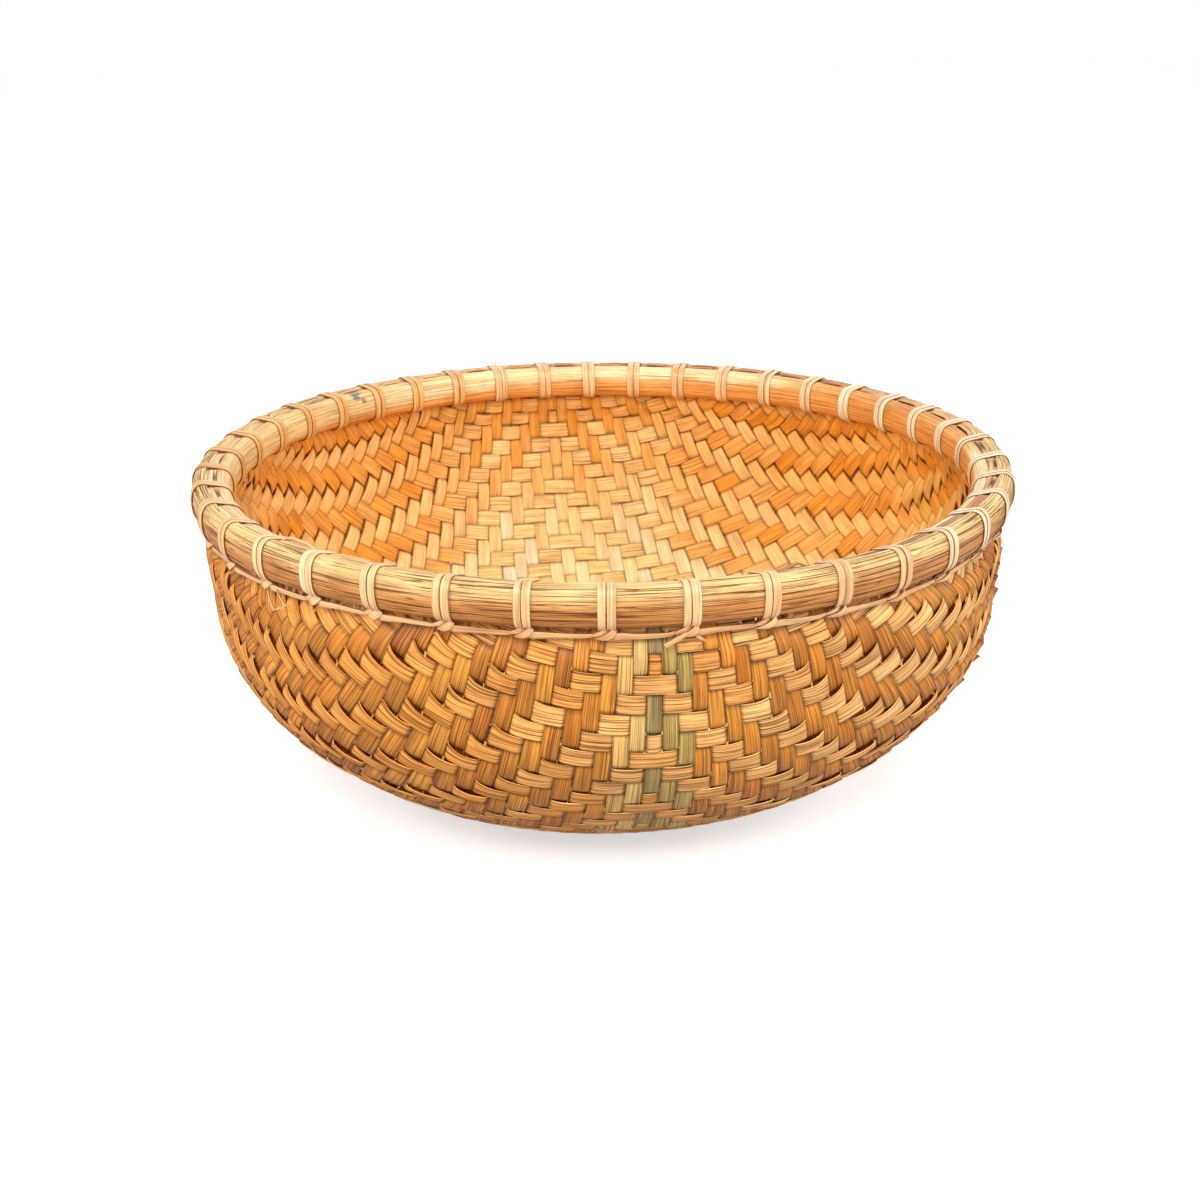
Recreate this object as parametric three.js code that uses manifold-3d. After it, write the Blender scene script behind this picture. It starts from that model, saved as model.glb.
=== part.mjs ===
// A round harvest basket: a twill-plaited bowl whose top edge is clamped between two half-round
// hoops, with a filler strip in the seam, and bound by forty double wraps of split cane that also
// hold a strand running under the outer hoop. Millimetres, +Z up, origin under the base's middle.

import * as THREE from 'three';
import { mergeVertices } from 'three/addons/utils/BufferGeometryUtils.js';
import Module from 'manifold-3d';

// Rim: its outside diameter, the height of its middle, and the two half-round hoops
const rimDiameter = 420;
const rimCentreHeight = 160;
const rimHeight = 19;
const outerHoopThickness = 8;
const innerHoopThickness = 8.5;
const hoopRoundness = 2.5;
const scarfLength = 32;
const scarfOpening = 1;
const fillerHeight = 3;

// Bowl: plaited wall, flat base, and how the wall swells below the rim and tapers to the belly
const wallThickness = 2.4;
const baseFlatRadius = 74;
const shoulderSwell = 3.8;
const shoulderDrop = 16;
const bellyTaper = 2.2;
const bellyDrop = 47;
const bowlRoundness = 1.78;
const collarMargin = 2;

// Binding: the running strand, and the flat cane of the lashings with the space between its turns
const strandDiameter = 3.2;
const strandDrop = 1.5;
const lashingCount = 40;
const lashingTurns = 2;
const caneWidth = 4;
const caneThickness = 0.9;
const wrapSpace = 0.6;

// Lashings were set by eye, wider apart in front: the first one's angle and the swing from even
const firstLashingAngle = THREE.MathUtils.degToRad(2.9);
const lashingSwing = THREE.MathUtils.degToRad(4.1);
const swingAzimuth = THREE.MathUtils.degToRad(9);

// Where the hoops' and the strand's scarf joints lie
const outerJointAngle = THREE.MathUtils.degToRad(146);
const innerJointAngle = THREE.MathUtils.degToRad(188);
const fillerJointAngle = THREE.MathUtils.degToRad(62);
const strandJointAngle = THREE.MathUtils.degToRad(-88);

// Clearance between pieces that touch on the real basket
const fitGap = 0.3;

// Facets: round the axis, along the bowl's curve, over a hoop's round face, round the strand
const ringSegments = 80;
const curveSegments = 8;
const hoopSegments = 5;
const strandSides = 6;

// Heights and radii that follow from the sizes above
const rimTop = rimCentreHeight + rimHeight / 2;
const rimBottom = rimCentreHeight - rimHeight / 2;
const outerSeatRadius = rimDiameter / 2 - outerHoopThickness;
const collarRadius = outerSeatRadius - fitGap;
const collarInnerRadius = collarRadius - wallThickness;
const innerSeatRadius = collarInnerRadius - fitGap;
const wallTop = rimTop - fillerHeight - fitGap;

const strandRadius = strandDiameter / 2;
const strandRing = collarRadius + fitGap + strandRadius;
const strandHeight = rimBottom - strandDrop - strandRadius;
const caneOffset = fitGap + caneThickness / 2;
const slotHeight = strandHeight - strandRadius - caneOffset;
const collarBottom = slotHeight - caneOffset - collarMargin;

// A lashing's turns lie side by side. Inside the rim the hoop curves towards their flat cane, so
// they stand off it by the sag of the hoop's curve over one facet and half a lashing.
const wrapPitch = caneWidth + wrapSpace;
const lashingWidth = (lashingTurns - 1) * wrapPitch + caneWidth + wrapSpace;
const sagAngle = Math.PI / ringSegments + lashingWidth / 2 / innerSeatRadius;
const insideSag = innerSeatRadius * (1 - Math.cos(sagAngle));

const shoulderRadius = collarRadius + shoulderSwell;
const shoulderHeight = rimBottom - shoulderDrop;
const bellyRadius = shoulderRadius - bellyTaper;
const bellyHeight = rimBottom - bellyDrop;

const wasm = await Module();
wasm.setup();

// A closed geometry as a solid, with its shared vertices merged and its collapsed faces dropped
function toSolid(geometry) {
  const bare = geometry.clone();
  bare.deleteAttribute('normal');
  bare.deleteAttribute('uv');
  const merged = mergeVertices(bare, 1e-4);
  const index = merged.index.array;
  const faces = [];
  for (let i = 0; i < index.length; i += 3) {
    const [a, b, c] = index.subarray(i, i + 3);
    if (a !== b && b !== c && c !== a) faces.push(a, b, c);
  }
  return new wasm.Manifold(new wasm.Mesh({
    numProp: 3,
    vertProperties: new Float32Array(merged.attributes.position.array),
    triVerts: new Uint32Array(faces),
  }));
}

function fromSolid(solid) {
  const mesh = solid.getMesh();
  const geometry = new THREE.BufferGeometry();
  geometry.setAttribute('position', new THREE.BufferAttribute(mesh.vertProperties, 3));
  geometry.setIndex(new THREE.BufferAttribute(mesh.triVerts, 1));
  geometry.computeVertexNormals();
  return geometry;
}

function fromFaces(points, faces) {
  const geometry = new THREE.BufferGeometry();
  geometry.setAttribute('position', new THREE.Float32BufferAttribute(points, 3));
  geometry.setIndex(faces);
  geometry.computeVertexNormals();
  return geometry;
}

// Points of a tube whose cross-sections are rings of equal count, joined in order and capped
function sweptFaces(stations, sides) {
  const faces = [];
  for (let k = 0; k < stations - 1; k++) {
    for (let i = 0; i < sides; i++) {
      const a = k * sides + i;
      const b = k * sides + (i + 1) % sides;
      faces.push(a, b, b + sides, a, b + sides, a + sides);
    }
  }
  const last = (stations - 1) * sides;
  for (let i = 1; i < sides - 1; i++) {
    faces.push(0, i + 1, i);
    faces.push(last, last + i, last + i + 1);
  }
  return faces;
}

// A strip bent into a ring round the axis. The section lists (radius, height) clockwise, and its
// two ends are cut on a slant across the section, so that they lap as a scarf joint.
function bentRing(section, jointAngle) {
  const radii = section.map((p) => p.x);
  const inside = Math.min(...radii);
  const depth = Math.max(...radii) - inside;
  const opening = scarfOpening / inside;
  const points = [];
  for (let k = 0; k <= ringSegments; k++) {
    const along = opening / 2 + (2 * Math.PI - opening) * (k / ringSegments);
    for (const p of section) {
      const slant = (scarfLength / inside) * ((p.x - inside) / depth);
      const angle = jointAngle + along + slant;
      points.push(p.x * Math.cos(angle), p.x * Math.sin(angle), p.y);
    }
  }
  return fromFaces(points, sweptFaces(ringSegments + 1, section.length));
}

// A point on a hoop's round face, grown outwards by an offset: out from its flat seat, and up
function hoopFace(thickness, angle, offset = 0) {
  const power = 2 / hoopRoundness;
  const rise = Math.sign(angle) * Math.abs(Math.sin(angle)) ** power;
  const out = Math.abs(Math.cos(angle)) ** power;
  return new THREE.Vector2((thickness + offset) * out, (rimHeight / 2 + offset) * rise);
}

const hoopAngles = [];
for (let i = 0; i <= hoopSegments; i++) hoopAngles.push(Math.PI * (i / hoopSegments - 0.5));

// The bowl's outside from the axis to the top edge: flat base, round belly, shoulder, collar
function bowlOutside() {
  const power = 2 / bowlRoundness;
  const profile = [new THREE.Vector2(0, 0)];
  for (let i = 0; i <= curveSegments; i++) {
    const t = (Math.PI / 2) * (i / curveSegments);
    const radius = baseFlatRadius + (bellyRadius - baseFlatRadius) * Math.sin(t) ** power;
    const height = bellyHeight * (1 - Math.max(0, Math.cos(t)) ** power);
    profile.push(new THREE.Vector2(radius, height));
  }
  profile.push(new THREE.Vector2(shoulderRadius, shoulderHeight));
  profile.push(new THREE.Vector2(collarRadius, collarBottom));
  profile.push(new THREE.Vector2(collarRadius, wallTop));
  return profile;
}

// The same line moved in by the wall's thickness, square to the wall at every corner
function movedIn(profile, distance) {
  const directions = profile.slice(1).map((p, i) => p.clone().sub(profile[i]).normalize());
  return profile.map((p, i) => {
    const before = directions[Math.max(0, i - 1)];
    const after = directions[Math.min(directions.length - 1, i)];
    const along = before.clone().add(after).normalize();
    const reach = distance / along.dot(after);
    return new THREE.Vector2(p.x - along.y * reach, p.y + along.x * reach);
  });
}

function lashingAngle(k) {
  const even = firstLashingAngle + 2 * Math.PI * (k / lashingCount);
  return even + lashingSwing * Math.cos(even - swingAzimuth);
}

// One turn of a lashing in (radius, height): from under the strand, up the outer hoop, over the
// rim, down the inner hoop, and back to the wall's slot
function lashingTurn() {
  const place = (seat, side, p) => new THREE.Vector2(seat + side * p.x, rimCentreHeight + p.y);
  const turn = [new THREE.Vector2(strandRing + strandRadius + caneOffset, slotHeight)];
  for (const angle of hoopAngles.slice(2)) {
    turn.push(place(outerSeatRadius, 1, hoopFace(outerHoopThickness, angle, caneOffset)));
  }
  for (const angle of hoopAngles.slice(1).reverse()) {
    const face = hoopFace(innerHoopThickness, angle, caneOffset);
    turn.push(place(innerSeatRadius - insideSag, -1, face));
  }
  turn.push(new THREE.Vector2(innerSeatRadius - caneOffset, slotHeight));
  return turn;
}

// The lashing's middle line: it starts square to the wall under the strand, winds its turns side
// by side, and ends under the strand again. Each stop has its turn count as its third number.
function lashingLine() {
  const turn = lashingTurn();
  const step = 1 / turn.length;
  const stops = [new THREE.Vector3(collarRadius + fitGap, slotHeight, -step)];
  for (let k = 0; k < lashingTurns; k++) {
    turn.forEach((p, i) => stops.push(new THREE.Vector3(p.x, p.y, k + i * step)));
  }
  stops.push(new THREE.Vector3(strandRing, slotHeight, lashingTurns));
  return stops;
}

const middleTurn = (lashingTurns - 1) / 2 + 0.25;
const slotTurn = lashingTurns / 2 + 0.5;

// The flat cane along that line, as four corners at every stop, in the plane of angle zero
function lashingCorners() {
  const stops = lashingLine();
  const headings = stops.slice(1).map((p, i) => {
    const d = p.clone().sub(stops[i]);
    return new THREE.Vector2(d.x, d.y).normalize();
  });
  const corners = [];
  stops.forEach((p, i) => {
    const before = headings[Math.max(0, i - 1)];
    const after = headings[Math.min(headings.length - 1, i)];
    const along = before.clone().add(after).normalize();
    const half = caneThickness / 2 / along.dot(after);
    const out = new THREE.Vector2(along.y, -along.x).multiplyScalar(half);
    const sideways = wrapPitch * (p.z - middleTurn);
    for (const [side, face] of [[-1, -1], [-1, 1], [1, 1], [1, -1]]) {
      const y = sideways + side * (caneWidth / 2);
      corners.push(new THREE.Vector3(p.x + face * out.x, y, p.y + face * out.y));
    }
  });
  return corners;
}

// The least distance between the cane's turns, measured between points along its four edges
function leastGapToItself(corners) {
  const samplesPerStep = 4;
  const sides = 4;
  const stopsPerTurn = lashingTurn().length;
  const samples = [];
  for (let i = 0; i + sides < corners.length; i++) {
    for (let s = 0; s < samplesPerStep; s++) {
      const point = corners[i].clone().lerp(corners[i + sides], s / samplesPerStep);
      samples.push({ point, at: Math.floor(i / sides) + s / samplesPerStep });
    }
  }
  let least = Infinity;
  for (const a of samples) {
    for (const b of samples) {
      if (b.at - a.at < stopsPerTurn / 2) continue;
      least = Math.min(least, a.point.distanceTo(b.point));
    }
  }
  return least;
}

const basket = new THREE.Group();

function add(name, geometry, color, roughness, angle = 0) {
  const material = new THREE.MeshStandardMaterial({ color, roughness, metalness: 0 });
  const mesh = new THREE.Mesh(geometry, material);
  mesh.name = name;
  mesh.rotation.z = angle;
  basket.add(mesh);
}

// Woven bowl, with a slot through its collar for every lashing
const outside = bowlOutside();
const inside = movedIn(outside, wallThickness);
const bowlShape = new THREE.LatheGeometry([...outside, ...inside.reverse()], ringSegments);
bowlShape.rotateX(Math.PI / 2);
let bowl = toSolid(bowlShape);
const slotWidth = lashingWidth + 2 * fitGap;
for (let k = 0; k < lashingCount; k++) {
  const slot = new THREE.BoxGeometry(3 * wallThickness, slotWidth, 2 * caneOffset);
  slot.translate(collarRadius - wallThickness / 2, wrapPitch * (slotTurn - middleTurn), slotHeight);
  slot.rotateZ(lashingAngle(k));
  bowl = bowl.subtract(toSolid(slot));
}
add('woven_bowl', fromSolid(bowl), 0xd9a04e, 0.7);

// Outer and inner hoops: half-round, flat faces to the wall
const outerSection = hoopAngles.map((angle) => {
  const p = hoopFace(outerHoopThickness, angle);
  return new THREE.Vector2(outerSeatRadius + p.x, rimCentreHeight + p.y);
});
const innerSection = hoopAngles.map((angle) => {
  const p = hoopFace(innerHoopThickness, -angle);
  return new THREE.Vector2(innerSeatRadius - p.x, rimCentreHeight + p.y);
});
add('outer_rim_hoop', bentRing(outerSection.reverse(), outerJointAngle), 0xd6a866, 0.6);
add('inner_rim_hoop', bentRing(innerSection.reverse(), innerJointAngle), 0xd0975a, 0.6);

// Filler strip: fills the seam between the hoops, on the cut ends of the weave
const fillerSection = [
  new THREE.Vector2(collarInnerRadius, wallTop + fitGap),
  new THREE.Vector2(collarInnerRadius, rimTop),
  new THREE.Vector2(collarRadius, rimTop),
  new THREE.Vector2(collarRadius, wallTop + fitGap),
];
add('rim_filler_strip', bentRing(fillerSection, fillerJointAngle), 0xa9744a, 0.7);

// Binding strand: round cane against the wall, under the outer hoop
const strandSection = [];
for (let i = 0; i < strandSides; i++) {
  const angle = -2 * Math.PI * (i / strandSides);
  strandSection.push(new THREE.Vector2(
    strandRing + strandRadius * Math.cos(angle),
    strandHeight + strandRadius * Math.sin(angle),
  ));
}
add('binding_strand', bentRing(strandSection, strandJointAngle), 0xe2b98a, 0.5);

// Lashings: the same winding at every lashing's angle
const corners = lashingCorners();
console.log(`rim lashing, least gap to itself: ${leastGapToItself(corners).toFixed(2)} mm`);
for (let k = 0; k < lashingCount; k++) {
  const points = corners.flatMap((p) => [p.x, p.y, p.z]);
  const winding = fromFaces(points, sweptFaces(corners.length / 4, 4));
  const name = `rim_lashing_${String(k + 1).padStart(2, '0')}`;
  add(name, winding, 0xe6bd92, 0.45, lashingAngle(k));
}

export default basket;
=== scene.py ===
import math
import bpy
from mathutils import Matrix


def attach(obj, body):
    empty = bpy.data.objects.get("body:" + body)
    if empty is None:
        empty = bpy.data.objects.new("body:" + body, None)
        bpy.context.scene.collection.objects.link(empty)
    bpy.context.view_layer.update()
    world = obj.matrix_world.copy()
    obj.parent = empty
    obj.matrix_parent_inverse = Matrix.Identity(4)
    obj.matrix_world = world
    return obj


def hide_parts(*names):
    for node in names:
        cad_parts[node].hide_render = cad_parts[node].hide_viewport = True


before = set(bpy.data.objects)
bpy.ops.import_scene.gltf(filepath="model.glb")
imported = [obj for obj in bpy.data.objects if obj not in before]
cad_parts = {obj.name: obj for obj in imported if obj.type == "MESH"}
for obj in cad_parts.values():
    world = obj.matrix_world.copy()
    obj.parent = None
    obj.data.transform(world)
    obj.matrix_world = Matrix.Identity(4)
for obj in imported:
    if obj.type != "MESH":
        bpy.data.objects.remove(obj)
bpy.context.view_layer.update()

import types

import bpy
import mathutils
import numpy as np

bpy.ops.object.select_all(action="DESELECT")


# The plaited bowl: the splints
# A flat mat of split splints, plaited over two and under two and mirrored about its middle splints,
# so that it shows nested diamonds. It was pressed into a bowl, and its edge goes up into the rim.
base_flat_radius = 0.074
belly_radius = 0.2033
belly_height = 0.1035
bowl_roundness = 1.78
shoulder_radius = 0.2055
shoulder_height = 0.1345
collar_radius = 0.2017
collar_bottom = 0.1423
collar_blend = 0.004
mat_top = 0.1655
mat_half = 0.0013
chance = np.random.default_rng(41)


def eased(t):
    t = np.clip(t, 0, 1)
    return t * t * (3 - 2 * t)


def bowl_line():
    """The outside of the bowl from the middle of its base to its top edge."""
    t = np.linspace(0, math.pi / 2, 160)
    power = 2 / bowl_roundness
    radius = base_flat_radius + (belly_radius - base_flat_radius) * np.sin(t) ** power
    height = belly_height * (1 - np.clip(np.cos(t), 0, 1) ** power)
    up = np.linspace(belly_height, mat_top, 121)[1:]
    swell = eased((up - belly_height) / (shoulder_height - belly_height))
    draw_in = eased((up - shoulder_height) / (collar_bottom + collar_blend - shoulder_height))
    wall = belly_radius + (shoulder_radius - belly_radius) * swell
    wall += (collar_radius - shoulder_radius) * draw_in
    flat = np.linspace(0, base_flat_radius, 40)[:-1]
    return np.concatenate([flat, radius, wall]), np.concatenate([flat * 0, height, up])


line_radius, line_height = bowl_line()
line_arc = np.concatenate([[0], np.cumsum(np.hypot(np.diff(line_radius), np.diff(line_height)))])
slope_r, slope_z = np.gradient(line_radius, line_arc), np.gradient(line_height, line_arc)
slope = np.hypot(slope_r, slope_z)
normal_r, normal_z = slope_z / slope, -slope_r / slope
mat_reach = line_arc[-1]

# How the mat gives when it is pressed into the bowl. Pairs are for its left and its right half: swings
# are in degrees, and draws are shares of the reach.
weave_turn = math.radians(-1.45)
back_lean = 0.69
wall_start, wall_blend = 0.05, 0.13
spread_start, spread_rise = math.radians(25), math.radians(20)
spread_end, spread_fall = math.radians(47), math.radians(43)
gather_reach, gather_swing = math.radians(24), 0.7
front_swings, front_draws = (4.7, 8.5), (0.047, 0.105)
back_swings, back_draws = (3.1, 2.1), (0.0475, 0.032)
back_twist_swing, back_twist_draws = 3.2, (0.042, 0.019)


def mat_on_bowl(x, y):
    """Where a point of the flat mat goes: its reach from the middle of the base, and its angle.

    At the four corners of the mat the splints crowd towards the base and swing to the sides. The
    splints that go up the back lean to the left there."""
    def half(pair):
        return np.where(x > 0, pair[1], pair[0])

    x = x - back_lean * np.maximum(y, 0) ** 3
    reach = np.hypot(x, y)
    corner = np.arctan2(np.abs(x), np.abs(y))
    once, twice = np.sin(2 * corner), np.sin(4 * corner)
    on_wall = eased((reach - wall_start) / wall_blend)
    spread = eased((corner - spread_start) / spread_rise)
    spread = spread * (1 - eased((corner - spread_end) / spread_fall))
    gathered = gather_swing * np.sin(np.clip(corner / gather_reach, 0, 1) * math.pi)
    front_swing = half(front_swings) * spread - gathered
    back_swing = half(back_swings) * once - back_twist_swing * twice
    front_drawn = half(front_draws) * once
    back_drawn = half(back_draws) * once + half(back_twist_draws) * twice
    turned = corner + on_wall * np.radians(np.where(y < 0, front_swing, back_swing))
    angle = np.arctan2(np.copysign(np.cos(turned), y), np.copysign(np.sin(turned), x)) + weave_turn
    return reach * (1 - on_wall * once * np.where(y < 0, front_drawn, back_drawn)), angle


def on_bowl(x, y, lift):
    """The place of a point of the flat mat, lifted off the mat's middle by so much."""
    reach, angle = mat_on_bowl(x, y)
    out, up = np.interp(reach, line_arc, normal_r), np.interp(reach, line_arc, normal_z)
    radius = np.interp(reach, line_arc, line_radius) + (lift - mat_half) * out
    height = np.interp(reach, line_arc, line_height) + (lift - mat_half) * up
    return np.stack([radius * np.cos(angle), radius * np.sin(angle), height], -1)


splint_pitch = 0.0094
splint_thickness = 0.0009
splint_edge_share = 0.5
splint_hollow = 0.00022
splint_numbers = range(-32, 33)
warp_stops_each, weft_stops_each = 6, 8
weft_slack_front, weft_slack_back = 0.001, 0.0036
over_under = 0.00055
float_ease = 0.25
wander_long, wander_short, wander_set = 0.00026, 0.00014, 0.0003
relief_start, relief_blend = 0.13, 0.09
rim_cover, rim_cover_blend = 0.034, 0.014
base_bow, wall_bow, warp_corner_bow, weft_corner_bow = 0.00022, 0.00030, 0.0004, 0.0001
inside_bow_share, under_hoop_bow = 1.6, 0.0009
wall_horn, corner_horn, claw_share = 0.00022, 0.0025, 1.15


def weft_line(j):
    """How far a weft lies from the middle of the mat. At the back they lie a little further apart."""
    return j * splint_pitch + np.where(j > 0, weft_slack_back, weft_slack_front) * np.tanh(j / 8)


def weft_outside(i, j):
    """The mirrored twill: true where weft j lies outside warp i."""
    return (np.abs(i) + np.abs(j - 1) + 2) % 4 < 2


def along_floats(side_at, u):
    """A splint along its length: its swing (1 outside, -1 inside), its side, its float, its place on it."""
    k = np.floor(u + 0.5)
    f = u - k
    here, ahead = side_at(k), side_at(k + np.where(f >= 0, 1, -1))
    swing = here + (ahead - here) * eased((np.abs(f) - (0.5 - float_ease)) / (2 * float_ease))
    up, down = (side_at(k + 1) == here) * 1, (side_at(k - 1) == here) * 1
    up, down = up + up * (side_at(k + 2) == here), down + down * (side_at(k - 2) == here)
    middle = k + (up - down) / 2
    return swing, here, middle, np.clip((u - middle) / ((1 + up + down) / 2), -1, 1)


def splint_stops(warp_way, number):
    """The stops of a splint from edge to edge, how it lies at each, and in which part of the bowl."""
    def flat(u, side):
        if warp_way:
            return number * splint_pitch + side, weft_line(u)
        return u * splint_pitch, weft_line(number) + side

    def side_at(k):
        if warp_way:
            return np.where(weft_outside(number, k), -1.0, 1.0)
        return np.where(weft_outside(k, number), 1.0, -1.0)

    s = types.SimpleNamespace(warp_way=warp_way, number=number, flat=flat)
    u = np.linspace(-40, 40, 3201)
    u = u[mat_on_bowl(*flat(u, 0 * u))[0] < mat_reach]
    stops = int((u[-1] - u[0]) * (warp_stops_each if warp_way else weft_stops_each))
    s.u = u = np.linspace(u[0], u[-1], max(stops, 6))
    s.swing, s.here, middle, s.t = along_floats(side_at, u)
    s.outer_end = (1 + s.t * np.sign(u)) / 2
    s.phase = chance.uniform(0, 6.28, 4)
    s.wander = wander_long * np.sin(u * 0.55 + s.phase[0]) + wander_short * np.sin(u * 1.7 + s.phase[1])
    s.wander = s.wander + chance.uniform(-wander_set, wander_set)
    s.reach, s.angle = mat_on_bowl(*flat(u, s.wander))
    s.corner = eased((np.abs(np.sin(2 * (s.angle - weave_turn))) - 0.25) / 0.55)
    s.at_sides = eased((np.abs(np.cos(s.angle - weave_turn)) - 0.66) / 0.26)
    s.in_front = eased(0.1 - 1.8 * np.sin(s.angle))
    s.on_wall = eased((s.reach - relief_start) / relief_blend)
    s.below_rim = 1 - eased((s.reach - (mat_reach - rim_cover)) / rim_cover_blend)
    s.float_number = (middle + 45).astype(int)
    s.own = chance.uniform(0.55, 1.35, 100)[s.float_number]
    return s


def arched(s):
    """How far a splint's middle stands off the mat: over or under, with a bow on each float."""
    corner_bow = warp_corner_bow if s.warp_way else weft_corner_bow
    bulge = base_bow + s.on_wall * s.below_rim * (wall_bow + corner_bow * s.corner)
    bulge = bulge * np.where(s.here > 0, 1.0, inside_bow_share)
    if not s.warp_way:
        under_hoop = eased((s.reach - 0.245) / 0.02)
        under_hoop = under_hoop * (1 - eased((s.reach - (mat_reach - 0.024)) / 0.008))
        bulge = bulge + under_hoop_bow * under_hoop * (s.here < 0)
    return over_under * s.swing + bulge * s.own * s.here * (1 - s.t * s.t)


def tipped_edge(s):
    """How far a splint's rimward edge stands up at the mat's corners, and how far it reaches over."""
    horn = wall_horn + corner_horn * s.corner * (0.3 + 0.7 * s.outer_end ** 1.5)
    horn = horn * s.on_wall * s.below_rim * s.own * s.here
    horn = horn * np.abs(s.swing) ** 0.35 * np.where(s.here > 0, 1, 0.3)
    if s.warp_way:
        horn = horn * (0.25 + (1.2 * s.at_sides * s.in_front if s.number > 0 else 0))
    claw = claw_share * s.corner * s.on_wall * s.below_rim * s.outer_end ** 3
    return horn, claw * np.where(s.here > 0, np.abs(s.swing) ** 0.25, 0)


def splint_half_width(s):
    """The weave is a little open in front, most of all low down, and close at the sides behind."""
    open_low = s.in_front * eased((s.reach - 0.12) / 0.05) * eased((0.29 - s.reach) / 0.06)
    behind = (1 - s.in_front) * s.corner * s.on_wall
    sides_behind = s.at_sides * (1 - s.in_front)
    if s.warp_way:
        fill = 1.11 - 0.105 * s.in_front - 0.17 * behind + 0.12 * sides_behind
        fill = fill - 0.02 * s.t * s.t * s.corner - (0.035 if s.number > 0 else 0.025) * open_low
    else:
        fill = 1.0 - 0.075 * s.in_front + 0.10 * behind + 0.18 * sides_behind
        fill = fill + 0.04 * s.swing - 0.03 * open_low
    fill = fill * np.where(s.here < 0, 1 - 0.05 * s.t ** 4, 1.0) * (1 + 0.05 * (s.own - 1) * (1 - s.t * s.t))
    fill = fill * (1 + 0.03 * np.sin(s.u * 0.35 + s.phase[3])) * chance.uniform(0.98, 1.03)
    return 0.5 * splint_pitch * fill


def splint_shade(s):
    """Painted shade and light: a splint is darker where it dives under the next one. At the mat's corners a
    warp is darker towards its lower float end, painted shade under the weft tips, and a weft is lighter
    towards its tip, a painted highlight. Each float also differs a little in tone.
    """
    shade = 1 - 0.82 * (1 - np.abs(s.swing)) ** 1.25
    shade = shade * chance.uniform(0.86, 1.07, 100)[s.float_number]
    # Painted shade at the warps' lower float ends, and a painted highlight on the weft tips.
    at_corner = s.corner * s.on_wall * s.below_rim * (s.here > 0)
    if s.warp_way:
        return shade * (1 - 0.5 * at_corner * (1 - s.outer_end) ** 2.5)
    return shade * (1 + at_corner * (0.2 * s.outer_end - 0.06))


def splint(warp_way, number):
    """One splint from edge to edge: six corners at every stop, and what its colours need."""
    s = splint_stops(warp_way, number)
    lift = arched(s)
    horn, claw = tipped_edge(s)
    width = splint_half_width(s)
    level = 0 if warp_way else s.at_sides
    rimward = 1 if number >= 0 else -1
    inner, outer = [], []
    for side in ((-1, 0, 1) if warp_way else (1, 0, -1)):
        wider = 1 + claw if side == rimward and not warp_way else 1
        x, y = s.flat(s.u, s.wander + side * width * wider)
        if side == rimward:
            tip_share = 0.85 - 0.25 * level
        else:
            tip_share = 0.33 + 0.25 * level if side == 0 else -0.1 + 0.6 * level
        raised = lift + horn * tip_share
        half = splint_thickness / 2 * (1 if side == 0 else splint_edge_share)
        inner.append(on_bowl(x, y, raised - half - (splint_hollow if side == 0 else 0)))
        outer.append(on_bowl(x, y, raised + half))
    corners = np.stack(inner + outer[::-1], 1)
    shade = splint_shade(s)
    return corners, s.u * splint_pitch, s.reach, s.angle, shade, chance.uniform(0, 1, 100)[s.float_number]


def strips_to_object(name, strips):
    """One mesh of many strips. Each strip is six corners, a run and six colours at every stop."""
    face_v = np.array([[-1, 0], [0, 1], [1.3, 1.3], [1, 0], [0, -1], [-1.3, -1.3]])
    points, quads, uvs, colours = [], [], [], []
    start = 0
    for number, (corners, run, colour) in enumerate(strips):
        n = len(corners)
        ring = np.arange(n - 1)[:, None] * 6 + start
        i = np.arange(6)[None, :]
        ahead = (i + 1) % 6
        quads.append(np.stack([ring + i, ring + ahead, ring + 6 + ahead, ring + 6 + i], -1).reshape(-1, 4))
        quads.append(np.array([[0, 5, 4, 1], [1, 4, 3, 2]]) + start)
        quads.append(np.array([[0, 1, 4, 5], [1, 2, 3, 4]]) + start + (n - 1) * 6)
        u = run + number * 3.7
        u = np.stack([u[:-1], u[:-1], u[1:], u[1:]], -1)[:, None, :].repeat(6, 1)
        v = face_v[None, :, [0, 1, 1, 0]].repeat(n - 1, 0)
        uvs.append(np.stack([u, v], -1).reshape(-1, 2))
        uvs.append(np.tile([number * 3.7, 1.3], (16, 1)))
        points.append(corners.reshape(-1, 3))
        colours.append(colour.reshape(-1, 4))
        start += n * 6
    points, quads = np.concatenate(points), np.concatenate(quads)
    uvs, colours = np.concatenate(uvs), np.concatenate(colours)
    mesh = bpy.data.meshes.new(name)
    mesh.vertices.add(len(points))
    mesh.vertices.foreach_set("co", points.ravel())
    mesh.loops.add(quads.size)
    mesh.loops.foreach_set("vertex_index", quads.ravel())
    mesh.polygons.add(len(quads))
    mesh.polygons.foreach_set("loop_start", np.arange(0, quads.size, 4))
    mesh.update(calc_edges=True)
    mesh.uv_layers.new(name="grain").data.foreach_set("uv", uvs.ravel())
    # The tint attribute holds each corner's colour with any painted shade already multiplied in.
    tint = mesh.color_attributes.new(name="tint", type="FLOAT_COLOR", domain="POINT")
    tint.data.foreach_set("color", colours.ravel())
    piece = bpy.data.objects.new(name, mesh)
    bpy.context.collection.objects.link(piece)
    bpy.ops.object.select_all(action="DESELECT")
    piece.select_set(True)
    bpy.context.view_layer.objects.active = piece
    bpy.ops.object.shade_smooth_by_angle(angle=math.radians(50))
    return piece


def linear(colour):
    """A colour written as it looks, 0 to 255, as the light it reflects."""
    c = np.asarray(colour, float) / 255
    return np.where(c <= 0.04045, c / 12.92, ((c + 0.055) / 1.055) ** 2.4)


def mixed(a, b, share):
    return a + (b - a) * np.asarray(share)[..., None]


inside_shade_power = 0.45


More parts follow.
